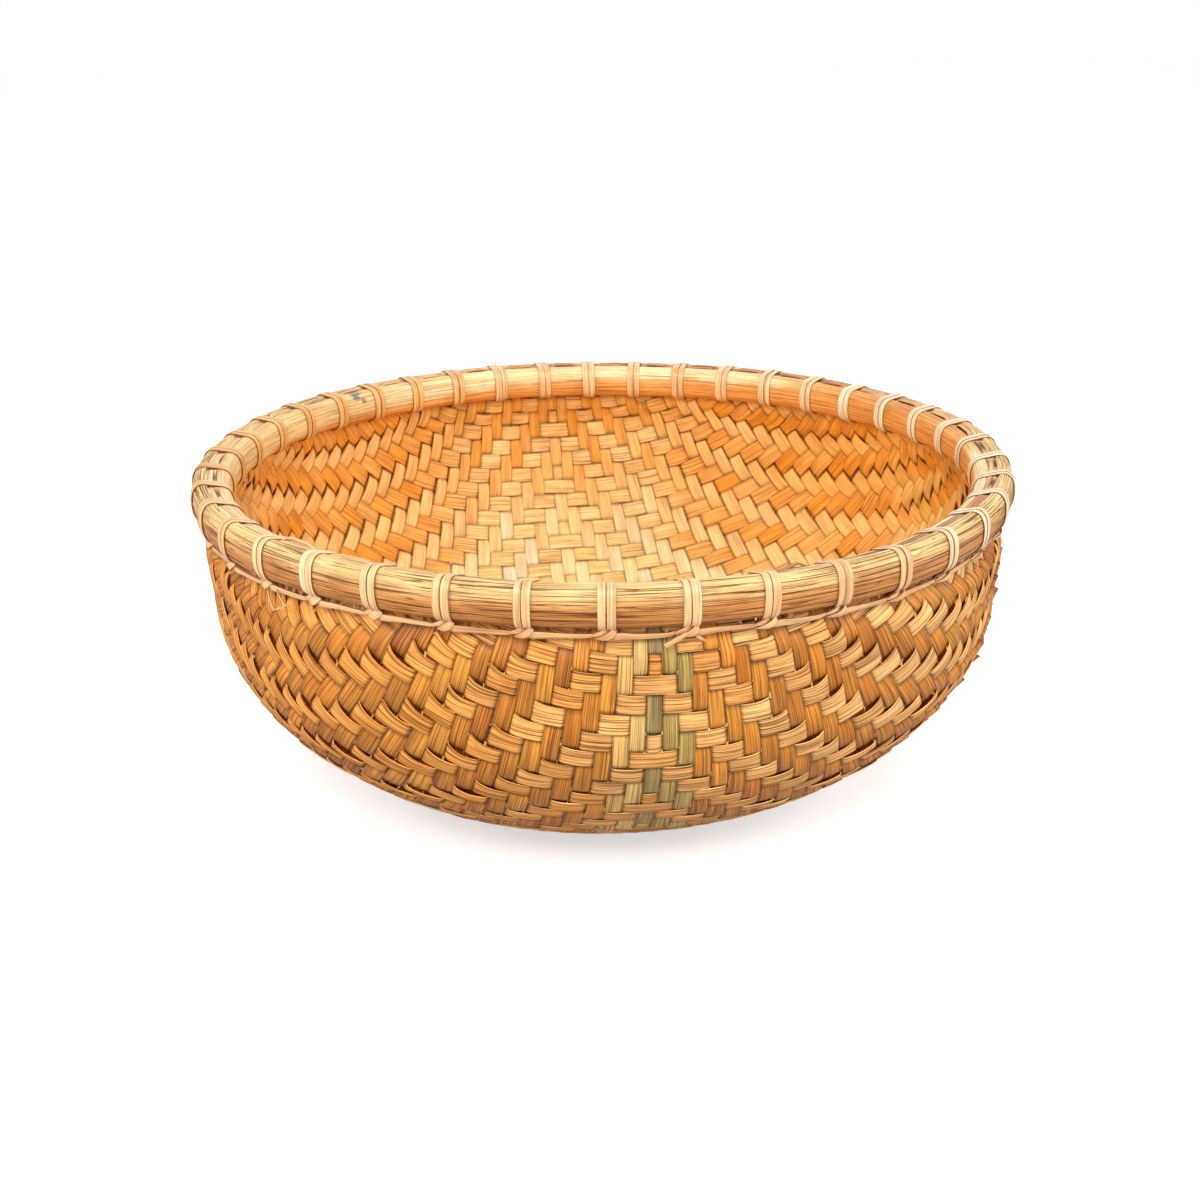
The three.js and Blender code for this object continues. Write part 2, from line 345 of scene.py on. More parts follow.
def two_faced(inside, outside, shade, inside_lines=1.0):
    """The colours of a strip's six corners with its painted shade multiplied in, weaker on the inside, and
    how strong its fibre lines are, inside and outside.
    """
    faces = np.stack([inside] * 3 + [outside] * 3, 1)
    faces = faces * np.stack([shade ** inside_shade_power] * 3 + [shade] * 3, 1)[..., None]
    strength = np.repeat([[inside_lines] * 3 + [1.0] * 3], len(shade), 0)
    return np.concatenate([faces, strength[..., None]], -1)


warp_amber, warp_honey, warp_brown = linear((217, 132, 35)), linear((226, 154, 58)), linear((170, 93, 27))
weft_straw, weft_pale = linear((240, 171, 86)), linear((252, 201, 132))
weft_tan, weft_gold = linear((219, 143, 63)), linear((238, 155, 56))
inside_cream, inside_gold = linear((255, 252, 222)), linear((255, 226, 150))
inside_orange, inside_beige = linear((242, 153, 36)), linear((255, 216, 150))
# Painted sheen for the inside warps at the mat's corners.
inside_sheen_blush = linear((255, 200, 126))
# Painted shade: the inside darkens towards this colour near the rim.
inside_rim_shade = inside_orange * 0.8
front_greens = {0: linear((166, 142, 88)), 1: linear((180, 152, 82)), 2: linear((188, 160, 86)),
                -1: linear((224, 184, 112)), -2: linear((230, 182, 104))}


# Where the inside of the mat's corners is painted with sheen and shade: warps paler, wefts deeper orange.
def corner_sheen_and_shade(angle, reach):
    return eased((np.abs(np.sin(2 * angle)) - 0.5) / 0.35) * eased((reach - 0.16) / 0.05)


def deep_right(inside, angle, reach):
    """The inside of the right wall is deeper in tone than the rest."""
    share = eased((np.cos(angle - 0.42) - 0.82) / 0.14) * eased((reach - 0.22) / 0.045)
    return inside * (1 - share[:, None] * np.array([0.05, 0.13, 0.42]))


def warp(number):
    corners, run, reach, angle, shade, own = splint(True, number)
    toned = mixed(warp_amber, warp_honey, chance.uniform(0, 1) ** 1.5)
    toned = mixed(toned, warp_brown, chance.uniform(0, 1) ** 2 * 0.8)
    outside = mixed(np.repeat(toned[None], len(run), 0), warp_honey, 0.5 * own ** 2)
    outside = mixed(outside, warp_brown, 0.4 * eased((0.235 - reach) / 0.08))
    if number in front_greens:
        outside = mixed(outside, front_greens[number], eased((-np.sin(angle) * reach - 0.08) / 0.06))
    low = mixed(inside_gold, inside_cream, (0.3 + 0.7 * own) * chance.uniform(0.4, 1))
    low = mixed(low, inside_orange, 0.75 * eased((abs(number) - 10) / 10))
    high = mixed(inside_orange, inside_gold, chance.uniform(0.15, 0.8) * (0.5 + 0.5 * own))
    inside = mixed(low, high, eased((reach - 0.14) / 0.13))
    # Painted shade: darker near the rim.
    inside = mixed(inside, inside_rim_shade, eased((reach - 0.24) / 0.05) * 0.65)
    # Painted sheen: inside warps are paler at the mat's corners.
    inside = mixed(inside, inside_sheen_blush, (0.5 + 0.4 * own) * corner_sheen_and_shade(angle, reach))
    return corners, run, two_faced(deep_right(inside, angle, reach), outside, shade, 0.3)


def weft(number):
    corners, run, reach, angle, shade, own = splint(False, number)
    toned = mixed(weft_straw, weft_pale, chance.uniform(0, 0.6))
    toned = mixed(toned, weft_tan, chance.uniform(0, 1) ** 2 * 0.8)
    outside = mixed(mixed(toned, weft_pale, 0.4 * own), weft_pale, 0.4 * eased(np.cos(angle) * 2))
    outside = mixed(outside, weft_gold, 0.7 * eased(-np.cos(angle) * 1.8))
    outside = mixed(outside, weft_tan, 0.45 * eased((0.235 - reach) / 0.08))
    low = mixed(inside_gold, inside_orange, chance.uniform(0, 0.5) * own)
    high = mixed(inside_orange, inside_beige, chance.uniform(0.55, 0.85) + 0.15 * own)
    inside = mixed(low, high, eased((reach - 0.14) / 0.13))
    # Painted shade: darker near the rim.
    inside = mixed(inside, inside_rim_shade, eased((reach - 0.25) / 0.05) * 0.5)
    # Painted shade: inside wefts are deeper orange at the mat's corners.
    inside = mixed(inside, inside_orange, (0.95 - 0.35 * own) * corner_sheen_and_shade(angle, reach))
    return corners, run, two_faced(deep_right(inside, angle, reach), outside, shade, 0.5)


warps = {i: warp(i) for i in splint_numbers}
wefts = {j: weft(j) for j in splint_numbers}
warps_left = strips_to_object("warp_splints_left", [s for i, s in warps.items() if i < 0])
warps_right = strips_to_object("warp_splints_right", [s for i, s in warps.items() if i >= 0])
wefts_front = strips_to_object("weft_splints_front", [s for j, s in wefts.items() if j < 0])
wefts_back = strips_to_object("weft_splints_back", [s for j, s in wefts.items() if j >= 0])


def feed(tree, socket, value):
    """Links another node's output to an input, or writes a plain value in it."""
    if isinstance(value, bpy.types.NodeSocket):
        tree.links.new(value, socket)
    else:
        socket.default_value = value


def node(tree, kind, **settings):
    """A shader node with its settings. A setting whose name starts with in_ feeds that input."""
    made = tree.nodes.new(kind)
    for key, value in settings.items():
        if key.startswith("in_"):
            feed(tree, made.inputs[key[3:].replace("_", " ")], value)
        else:
            setattr(made, key, value)
    return made


def maths(tree, operation, *values):
    made = node(tree, "ShaderNodeMath", operation=operation)
    for socket, value in zip(made.inputs, values):
        feed(tree, socket, value)
    return made.outputs[0]


def moved_range(tree, value, from_range, to_range=(0.0, 1.0), kind="LINEAR"):
    """A value moved from one range to another, and held at its ends."""
    made = node(tree, "ShaderNodeMapRange", interpolation_type=kind, in_Value=value,
                in_From_Min=from_range[0], in_From_Max=from_range[1],
                in_To_Min=to_range[0], in_To_Max=to_range[1])
    return made.outputs["Result"]


def grain_noise(tree, place, along, across, detail, roughness):
    """Noise on grain coordinates, stretched along the fibres."""
    stretch = node(tree, "ShaderNodeVectorMath", operation="MULTIPLY", in_Vector=place)
    stretch.inputs[1].default_value = (along, across, across)
    noise = node(tree, "ShaderNodeTexNoise", in_Vector=stretch.outputs[0], in_Scale=1.0,
                 in_Detail=detail, in_Roughness=roughness)
    return noise.outputs["Fac"]


def ramp(tree, value, stops):
    """A tone for a value, from stops that each hold a place and a grey or a colour."""
    made = node(tree, "ShaderNodeValToRGB", in_Fac=value)
    while len(made.color_ramp.elements) < len(stops):
        made.color_ramp.elements.new(0.5)
    for element, (at, shade) in zip(made.color_ramp.elements, stops):
        element.position = at
        element.color = (shade, shade, shade, 1) if isinstance(shade, (int, float)) else (*shade, 1)
    return made.outputs["Color"]


def times(tree, a, b, share=1.0):
    mix = node(tree, "ShaderNodeMix", data_type="RGBA", blend_type="MULTIPLY",
               in_Factor=share, in_A=a, in_B=b)
    return mix.outputs["Result"]


def new_finish(name):
    material = bpy.data.materials.new(name)
    material.use_nodes = True
    return material, material.node_tree, material.node_tree.nodes["Principled BSDF"]


def fibre_relief(tree, shader, fibres, strength):
    bump = node(tree, "ShaderNodeBump", in_Strength=strength, in_Distance=0.0006, in_Height=fibres)
    feed(tree, shader.inputs["Normal"], bump.outputs["Normal"])


def splint_finish(name, line_depth, roughness, gloss, edge_tone):
    """Split cane or bamboo: the splint's own tint, long fibre streaks, thin dark lines, painted shade along
    its long edges, and its cut edges.
    """
    material, tree, shader = new_finish(name)
    tint = node(tree, "ShaderNodeVertexColor", layer_name="tint")
    uv = node(tree, "ShaderNodeUVMap", uv_map="grain").outputs["UV"]
    streaks = grain_noise(tree, uv, 20, 4.5, 4.0, 0.6)
    lines = grain_noise(tree, uv, 9, 6.5, 2.0, 0.5)
    broad = grain_noise(tree, uv, 45, 0.9, 2.0, 0.5)
    streak_shade = ramp(tree, streaks, [(0.34, (0.40, 0.31, 0.24)), (0.5, 0.96), (0.66, 1.24)])
    colour = times(tree, tint.outputs["Color"], streak_shade, tint.outputs["Alpha"])
    line_shade = ramp(tree, lines, [(0.385, (0.28, 0.17, 0.09)), (0.45, 1.0)])
    colour = times(tree, colour, line_shade, maths(tree, "MULTIPLY", tint.outputs["Alpha"], line_depth))
    colour = times(tree, colour, ramp(tree, broad, [(0.3, (0.80, 0.74, 0.68)), (0.6, 1.05)]))
    across = node(tree, "ShaderNodeSeparateXYZ", in_Vector=uv).outputs["Y"]
    near_edge = maths(tree, "DIVIDE", maths(tree, "ABSOLUTE", across), 1.4)
    # Painted shade: a dark band along the long edges of each face stands for the shade between neighbouring
    # strips. The cut edge faces take edge_tone.
    edge_shade = ramp(tree, near_edge, [(0.58, 1.0), (0.70, 0.54), (0.76, 0.54), (0.82, edge_tone)])
    feed(tree, shader.inputs["Base Color"], times(tree, colour, edge_shade))
    feed(tree, shader.inputs["Specular IOR Level"], gloss)
    rough = ramp(tree, streaks, [(0.3, roughness + 0.12), (0.7, roughness - 0.06)])
    feed(tree, shader.inputs["Roughness"], rough)
    fibre_relief(tree, shader, streaks, 0.45)
    return material


warp_finish = splint_finish("warp_splint", 0.75, 0.48, 0.3, (1.3, 1.3, 1.25))
weft_finish = splint_finish("weft_splint", 0.95, 0.56, 0.25, (1.3, 1.3, 1.25))
for piece, finish in ((warps_left, warp_finish), (warps_right, warp_finish),
                      (wefts_front, weft_finish), (wefts_back, weft_finish)):
    piece.data.materials.append(finish)
    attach(piece, "root")
    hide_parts("woven_bowl")


# The two rim hoops
# Half-round canes bent to rings, one each side of the mat's edge. Their faces are split along fine
# fibre lines, straw coloured above and browner below, and their ends meet in slanted joints.
rim_middle = 0.160
hoop_half = 0.0095
outer_seat, outer_thickness = 0.202, 0.008
inner_seat, inner_thickness = 0.199, 0.0085
hoop_power = 2 / 2.5
hoop_back_share, hoop_back_power = 0.25, 0.45
hoop_section_stops, hoop_steps = 56, 240
joint_gap = 0.004
ragged_height = 0.006
stain_ragged, stain_edge = 0.005, (0.0019, 0.0031)


def rim_sway(angle):
    """The rim is bent by hand: how far it stands out and up there."""
    out = 0.0003 * np.sin(2 * angle + 0.6) + 0.0002 * np.sin(5 * angle + 2.1) + 0.00015 * np.sin(11 * angle)
    up = 0.0004 * np.sin(3 * angle + 1.2) + 0.00025 * np.sin(8 * angle + 0.4)
    return out, up


def inner_drop(angle):
    """How much lower the inner hoop's top stands: it sank in front when the rim was bound."""
    return 0.0008 + 0.0020 * eased(0.45 - 0.8 * np.sin(angle))


def bent_hoop(name, seat, depth, joint, slant, ridge, seed):
    """A half-round section, reshaped from a circle, spun round the basket and jointed on a slant."""
    bpy.ops.object.select_all(action="DESELECT")
    bpy.ops.mesh.primitive_circle_add(vertices=hoop_section_stops, radius=1)
    hoop = bpy.context.object
    hoop.name = name
    rough = np.random.default_rng(seed).uniform(-ridge, ridge, hoop_section_stops)
    for vertex, off in zip(hoop.data.vertices, rough):
        x, y = vertex.co.x, vertex.co.y
        if x > 0:
            out = hoop_back_share + (1 - hoop_back_share) * x ** hoop_power
        else:
            out = hoop_back_share - hoop_back_share * abs(x) ** hoop_back_power
        up = math.copysign(abs(y) ** hoop_power, y)
        radius = seat + (depth + math.copysign(off, depth)) * out
        vertex.co = (radius, 0, rim_middle + (hoop_half + off * abs(y)) * up)
    bpy.ops.object.mode_set(mode="EDIT")
    bpy.ops.mesh.select_all(action="SELECT")
    bpy.ops.mesh.spin(steps=hoop_steps, angle=2 * math.pi - joint_gap, center=(0, 0, 0), axis=(0, 0, 1))
    bpy.ops.mesh.select_all(action="SELECT")
    bpy.ops.mesh.fill_holes(sides=0)
    bpy.ops.mesh.normals_make_consistent(inside=False)
    bpy.ops.object.mode_set(mode="OBJECT")
    points = np.zeros(len(hoop.data.vertices) * 3)
    hoop.data.vertices.foreach_get("co", points)
    points = points.reshape(-1, 3)
    radius = np.hypot(points[:, 0], points[:, 1])
    angle = np.arctan2(points[:, 1], points[:, 0]) % (2 * math.pi)
    angle = angle + joint + slant * (radius - seat) / depth
    sway, rise = rim_sway(angle)
    radius = radius + sway
    height = points[:, 2] + rise
    if depth < 0:
        height -= inner_drop(angle) * (points[:, 2] - rim_middle + hoop_half) / (2 * hoop_half)
    points = np.stack([radius * np.cos(angle), radius * np.sin(angle), height], -1)
    hoop.data.vertices.foreach_set("co", points.ravel())
    hoop.data.update()
    bpy.ops.object.shade_smooth_by_angle(angle=math.radians(40))
    return hoop


def ring_place(tree):
    """Grain coordinates of a hoop from its object space, and apart from them its angle and height."""
    place = node(tree, "ShaderNodeTexCoord").outputs["Object"]
    parts = node(tree, "ShaderNodeSeparateXYZ", in_Vector=place).outputs
    angle = maths(tree, "ARCTAN2", parts["Y"], parts["X"])
    flat = node(tree, "ShaderNodeCombineXYZ", in_X=parts["X"], in_Y=parts["Y"]).outputs[0]
    radius = node(tree, "ShaderNodeVectorMath", operation="LENGTH", in_Vector=flat).outputs["Value"]
    ring = node(tree, "ShaderNodeCombineXYZ", in_X=angle, in_Y=radius, in_Z=parts["Z"])
    return ring.outputs[0], angle, parts["Z"]


def stained(tree, colour, marks):
    """Small ragged stains, each with its middle, its reach and its tint."""
    place = node(tree, "ShaderNodeTexCoord").outputs["Object"]
    ragged = node(tree, "ShaderNodeTexNoise", in_Vector=place, in_Scale=600.0, in_Detail=2.0).outputs["Fac"]
    for middle, reach, tint in marks:
        away = node(tree, "ShaderNodeVectorMath", operation="DISTANCE", in_Vector=place)
        away.inputs[1].default_value = middle
        spread = maths(tree, "MULTIPLY_ADD", ragged, stain_ragged, away.outputs["Value"])
        clear = moved_range(tree, spread, [reach + edge for edge in stain_edge], kind="SMOOTHSTEP")
        colour = times(tree, colour, ramp(tree, clear, [(0.0, tint), (1.0, 1.0)]))
    return colour


def hoop_finish(name, above, below, border, softness, line_depth, higher, higher_at, tan=None, marks=()):
    """Bent cane: straw above, browner below a ragged border, with thin dark lines along the ring.

    The border stands higher on the side that faces one angle. With a tan, that side has one brown
    face, and the side away from it is tanned."""
    material, tree, shader = new_finish(name)
    ring, angle, height = ring_place(tree)
    streaks = grain_noise(tree, ring, 4, 1000, 4.0, 0.6)
    lines = grain_noise(tree, ring, 3.2, 2000, 2.0, 0.5)
    breaks = grain_noise(tree, ring, 16, 900, 2.0, 0.5)
    hairs = grain_noise(tree, ring, 5, 4200, 1.0, 0.5)
    patches = grain_noise(tree, ring, 8, 70, 3.0, 0.5)
    facing_it = maths(tree, "COSINE", maths(tree, "SUBTRACT", angle, math.radians(higher_at)))
    ragged = maths(tree, "MULTIPLY_ADD", patches, ragged_height, height)
    lowered = maths(tree, "MULTIPLY_ADD", facing_it, -higher, ragged)
    middle = border + ragged_height / 2
    above_border = moved_range(tree, lowered, (middle - softness, middle + softness), kind="SMOOTHSTEP")
    straw_share = above_border
    if tan:
        keeps_two_faces = moved_range(tree, facing_it, (0.87, 0.94), (1.0, 0.15))
        straw_share = maths(tree, "MULTIPLY", above_border, keeps_two_faces)
    tone = node(tree, "ShaderNodeMix", data_type="RGBA", in_Factor=straw_share,
                in_A=(*linear(below), 1), in_B=(*linear(above), 1))
    streak_shade = ramp(tree, streaks, [(0.3, (0.66, 0.58, 0.48)), (0.52, 1.0), (0.7, 1.1)])
    colour = times(tree, tone.outputs["Result"], streak_shade)
    if tan:
        turned_to_it = moved_range(tree, facing_it, (-0.45, 1.0))
        tanned = ramp(tree, turned_to_it, [(0.0, tan), (0.28, 1.0), (0.80, 1.0), (0.92, (0.95, 0.92, 0.88))])
        colour = times(tree, colour, tanned)
        edge_line = ramp(tree, above_border, [(0.25, 1.0), (0.45, (0.80, 0.66, 0.5)), (0.65, 1.0)])
        colour = times(tree, colour, edge_line, 0.8)
    line_shade = ramp(tree, lines, [(0.415, (0.26, 0.15, 0.08)), (0.47, 1.0)])
    hair_shade = ramp(tree, hairs, [(0.38, (0.5, 0.38, 0.26)), (0.46, 1.0)])
    break_shade = ramp(tree, breaks, [(0.30, (0.45, 0.32, 0.2)), (0.38, 1.0)])
    colour = times(tree, colour, line_shade, line_depth)
    colour = times(tree, colour, hair_shade, line_depth * 0.7)
    colour = times(tree, colour, break_shade, line_depth)
    colour = times(tree, colour, ramp(tree, patches, [(0.3, (0.86, 0.8, 0.74)), (0.6, 1.03)]))
    if marks:
        colour = stained(tree, colour, marks)
    feed(tree, shader.inputs["Base Color"], colour)
    feed(tree, shader.inputs["Roughness"], 0.48)
    feed(tree, shader.inputs["Specular IOR Level"], 0.3)
    fibre_relief(tree, shader, lines, 0.6)
    return material


inner_hoop = bent_hoop("inner_hoop", inner_seat, -inner_thickness, joint=math.radians(188), slant=-0.06,
                       ridge=0.0001, seed=5)
blue_grey_marks = [((-0.1286, 0.1459, 0.1686), 0.0036, (0.50, 0.66, 1.0)),
                   ((-0.1276, 0.1437, 0.1668), 0.0021, (0.50, 0.62, 0.95)),
                   ((-0.1232, 0.1457, 0.1642), 0.0018, (0.36, 0.42, 0.55))]
inner_cane = hoop_finish("inner_hoop_cane", above=(255, 230, 174), below=(243, 166, 83), border=0.1580,
                         softness=0.0030, line_depth=0.42, higher=0.0065, higher_at=20,
                         tan=(0.92, 0.81, 0.70), marks=blue_grey_marks)
inner_hoop.data.materials.append(inner_cane)
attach(inner_hoop, "root")
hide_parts("inner_rim_hoop")

outer_hoop = bent_hoop("outer_hoop", outer_seat, outer_thickness, joint=math.radians(176), slant=0.06,
                       ridge=0.00014, seed=8)
outer_cane = hoop_finish("outer_hoop_cane", above=(240, 206, 141), below=(208, 141, 73), border=0.1626,
                         softness=0.0055, line_depth=1.0, higher=0.0006, higher_at=-135)
outer_hoop.data.materials.append(outer_cane)
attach(outer_hoop, "root")
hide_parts("outer_rim_hoop")


# The filler strip
# Three thin splints laid in the seam on top of the rim, over the cut edge of the mat. They lie deep in
# front and nearly flush at the left, stand up at the right and behind, and have a few short cracks.
# They are painted darker where they lie deep between the hoops and in their cracks: painted shade.
filler_radii = (0.1987, 0.2006, 0.2025)
filler_foot = 0.1672
filler_half_width, filler_thickness, filler_edge_share = 0.00115, 0.0011, 0.5
stand_rise, left_rise, ripple = 0.0021, 0.0014, 0.0004
held_reach, held_blend = 0.0030, 0.0065
bulge_at, bulge_reach, bulge_rise = 220.2, 3.4, 0.0019
peak_at, peak_reach, peak_rise = 286.5, 1.5, 0.0036
crack_reach, crack_depth = 2.0, 0.0012
seam_cracks = {0: (184.2, 192.3, 353.2), 1: (334.6, 343.9)}
filler_tan, filler_brown = linear((222, 164, 118)), linear((206, 144, 100))
filler_crack_shade = linear((96, 70, 54))
filler_pale_left, filler_pale_right = linear((255, 216, 160)), linear((250, 208, 152))
filler_pale_side, filler_pale_bulge = linear((250, 200, 142)), linear((250, 204, 150))
lashing_count = 40
filler_strips = []


def unit(v):
    return v / np.maximum(np.linalg.norm(v, axis=-1, keepdims=True), 1e-12)


def strip_corners(centre, lateral, normal, half_width, thickness, edge_share):
    """Six corners of a flat strip at every stop: inner left, middle, right, outer right to left."""
    w = half_width[:, None]
    mid, edge = thickness / 2, thickness / 2 * edge_share
    return np.stack([
        centre - lateral * w - normal * edge,
        centre - normal * mid,
        centre + lateral * w - normal * edge,
        centre + lateral * w + normal * edge,
        centre + normal * mid,
        centre - lateral * w + normal * edge,
    ], 1)


def lashing_angle(number):
    """Where a lashing sits: evenly spaced by eye, a little closer at the back."""
    even = math.radians(2.9 + 9 * number)
    return even + math.radians(4.1) * math.cos(even - math.radians(9))


def off_angle(angle, place):
    """How far round the rim an angle is from a place, by the shorter way."""
    return (angle - place + math.pi) % (2 * math.pi) - math.pi


def near(angle, place, reach, power=4):
    """1 at a place on the rim, and fading to 0 past its reach. Both are in degrees."""
    return np.exp(-np.abs(off_angle(angle, math.radians(place)) / math.radians(reach)) ** power)


lashing_angles = np.array([lashing_angle(number) for number in range(lashing_count)])
for number, radius in enumerate(filler_radii):
    angle = np.linspace(0, 2 * math.pi - 0.01, 361) + math.radians(62 + 90 * number)
    sway, rise = rim_sway(angle)
    stands_up = eased(0.5 + 0.9 * np.cos(angle - math.radians(50)))
    at_left = eased(-0.5 - 1.6 * np.cos(angle - math.radians(10)))
    at_right = eased((np.cos(angle - math.radians(2)) - 0.80) / 0.12)
    from_lashing = np.abs(off_angle(angle[:, None], lashing_angles[None, :])).min(1) * radius
    free = eased((from_lashing - held_reach) / held_blend)
    lift = ripple * np.sin(angle * 23 + number) * np.sin(angle * 3 + number * 1.7)
    height = filler_foot + rise + free * (stand_rise * stands_up + left_rise * at_left + lift)
    bulge = near(angle, bulge_at, bulge_reach) if number == 0 else 0 * angle
    height += bulge_rise * bulge * free
    stands_up = np.maximum(stands_up, bulge)
    if number == 1:
        height += peak_rise * near(angle, peak_at, peak_reach, 1.5) * free
    cracked = sum((near(angle, place, crack_reach) for place in seam_cracks.get(number, ())), 0 * angle)
    height -= crack_depth * cracked
    wander = 0.00025 * np.sin(angle * 7 + number * 2) + 0.0002 * np.sin(angle * 17 + number)
    r = radius + sway + wander
    centre = np.stack([r * np.cos(angle), r * np.sin(angle), height], -1)
    along = unit(np.gradient(centre, axis=0))
    up = np.repeat(np.array([[0, 0, 1.0]]), len(angle), 0)
    up = unit(up - along * np.sum(up * along, -1, keepdims=True))
    half_width = np.full(len(angle), filler_half_width)
    corners = strip_corners(centre, np.cross(up, along), up, half_width, filler_thickness, filler_edge_share)
    tone = np.repeat(mixed(filler_tan, filler_brown, chance.uniform(0, 1))[None], len(angle), 0)
    tone = mixed(tone, filler_pale_side, eased(0.35 - 1.2 * np.cos(angle)))
    tone = mixed(tone, filler_pale_left, at_left)
    pieces = eased(0.5 + 0.7 * np.sin(angle * 31 + number * 2.4))
    tone = mixed(tone, filler_pale_right, at_right * (0.4 + 0.5 * pieces))
    tone = mixed(tone, filler_pale_bulge, bulge)
    # Painted shade: the cracks are painted dark for the shade inside them.
    tone = mixed(tone, filler_crack_shade, 0.85 * cracked)
    # Painted shade: the strips are darker where they lie deep between the hoops.
    shade = 0.65 + 0.35 * np.maximum(stands_up, at_left)
    filler_strips.append((corners, angle * radius, two_faced(tone, tone, shade)))
filler = strips_to_object("rim_filler", filler_strips)
filler.data.materials.append(splint_finish("filler_splint", 0.8, 0.6, 0.2, (0.8, 0.7, 0.6)))
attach(filler, "root")
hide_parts("rim_filler_strip")


# The lashings
# Two turns of flat split cane round the hoops at forty places. Both turns come from the same slot in
# the wall, so they draw together at the foot, and they lie a hair apart over the top of the rim.
slot_height = 0.1462
inner_slot_height = 0.1488
slot_depth = 0.0002
cane_width = 0.0040
cane_thickness = 0.0009
cane_edge_share = 0.42
turn_gaps = {-1: 0.0006, 1: 0.00065}
turn_widths = {-1: (0.78, 0.92), 1: (0.9, 1.02)}
turn_stops = 44
foot_share = 0.17
cane_pale, cane_pink = linear((255, 213, 157)), linear((250, 192, 132))
cane_amber, cane_cream = linear((244, 180, 100)), linear((255, 238, 200))


def rim_outline(gap, stops, drop):
    """Round the rim, from the slot outside over the top to the slot inside: radius and height."""
    a = np.radians(np.linspace(-80, 86, 60))
    out = hoop_back_share + (1 - hoop_back_share) * np.cos(a) ** hoop_power
    up = rim_middle + (hoop_half + gap) * np.sign(a) * np.abs(np.sin(a)) ** hoop_power
    inside = up - drop * (up - rim_middle + hoop_half) / (2 * hoop_half)
    radius = np.concatenate([[outer_seat + slot_depth], outer_seat + (outer_thickness + gap) * out,
                             (inner_seat - (inner_thickness + gap) * out)[::-1], [inner_seat - slot_depth]])
    height = np.concatenate([[slot_height], up, inside[::-1], [inner_slot_height]])
    length = np.concatenate([[0], np.cumsum(np.hypot(np.diff(radius), np.diff(height)))])
    at = np.linspace(0, length[-1], stops)
    radius, height = np.interp(at, length, radius), np.interp(at, length, height)
    for _ in range(2):
        radius[1:-1] = (radius[:-2] + 2 * radius[1:-1] + radius[2:]) / 4
        height[1:-1] = (height[:-2] + 2 * height[1:-1] + height[2:]) / 4
    return radius, height, at


def flat_cane(centre, outward, width, tint, run=None):
    """A strip of split cane along a line, flat side to the given direction."""
    along = unit(np.gradient(centre, axis=0))
    normal = unit(outward - along * np.sum(outward * along, -1, keepdims=True))
    lateral = np.cross(normal, along)
    corners = strip_corners(centre, lateral, normal, width / 2, cane_thickness, cane_edge_share)
    if run is None:
        run = np.concatenate([[0], np.cumsum(np.linalg.norm(np.diff(centre, axis=0), axis=1))])
    shade = np.repeat(tint[None], len(centre), 0)
    return corners, run, two_faced(shade, shade, np.ones(len(centre)))


# Painted shade: the binding cane's dark edge tone makes dark outlines along its edges and between its turns.
cane_finish = splint_finish("binding_cane", 0.4, 0.33, 0.6, (0.30, 0.20, 0.13))
upward = np.array([0, 0, 1.0])
for number, angle in enumerate(lashing_angles):
    away = np.array([math.cos(angle), math.sin(angle), 0])
    ahead = np.array([-math.sin(angle), math.cos(angle), 0])
    sway, rise = rim_sway(angle)
    at_back_left = float(eased((math.cos(angle - math.radians(145)) - 0.72) / 0.16))
    at_right = float(eased((math.cos(angle + math.radians(5)) - 0.62) / 0.17))
    tint = mixed(mixed(cane_pale, cane_pink, chance.uniform(0, 1)), cane_amber, at_back_left * 0.9)
    tint = mixed(tint, cane_cream, at_right * 0.75)
    turns = []
    apart, lean = chance.uniform(0.0019, 0.0021), chance.uniform(-0.0013, 0.0001)
    waist = chance.uniform(0.0013, 0.0019)
    for hand in (-1, 1):
        radius, height, at = rim_outline(turn_gaps[hand], turn_stops, inner_drop(angle))
        share = at / at[-1]
        foot = eased((foot_share - np.minimum(share, 1 - share)) / foot_share)
        sideways = hand * (apart + (waist - apart) * foot) + lean * (share - 0.5) * 2
        centre = (radius + sway)[:, None] * away + sideways[:, None] * ahead
        centre = centre + (height + rise)[:, None] * upward
        outward = np.gradient(height)[:, None] * away - np.gradient(radius)[:, None] * upward
        width = np.full(len(at), cane_width * chance.uniform(*turn_widths[hand]))
        turns.append(flat_cane(centre, outward, width, tint * chance.uniform(0.94, 1.04), at + number))
    lashing = strips_to_object("lashing_%02d" % (number + 1), turns)
    lashing.data.materials.append(cane_finish)
    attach(lashing, "root")
    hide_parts("rim_lashing_%02d" % (number + 1))


# The cut ends of the splints
# The mat was trimmed after the outer hoop was on, so short uneven ends of its splints and a few
# slivers show between the hoop and the binding strand, with more of them in front at the left.
end_count, evenly_spread = 110, 80
front_left = (190, 235)
end_root_radius, end_root_height = 0.2024, 0.1514
end_lean_radius = 0.204
end_strips = []
for number in range(end_count):
    if number < evenly_spread:
        start = chance.uniform(0, 2 * math.pi)
    else:
        start = math.radians(chance.uniform(*front_left))
    along = np.linspace(0, 1, 5)
    length, lean = chance.uniform(0.002, 0.006), chance.normal(0, 0.0022)
    angle = start + lean * along / end_lean_radius
    radius = end_root_radius + chance.uniform(0.0008, 0.0026) * along
    height = end_root_height - length * along
    centre = np.stack([radius * np.cos(angle), radius * np.sin(angle), height], -1)
    outward = np.stack([np.cos(angle), np.sin(angle), 0 * angle], -1)
    width = chance.uniform(0.0008, 0.0034) * (1 - 0.35 * along)
    tint = mixed(mixed(weft_tan, weft_pale, chance.uniform(0, 1)), front_greens[1], chance.uniform(0, 0.6))
    end_strips.append(flat_cane(centre, outward, width, tint))
splint_ends = strips_to_object("splint_ends", end_strips)
splint_ends.data.materials.append(weft_finish)
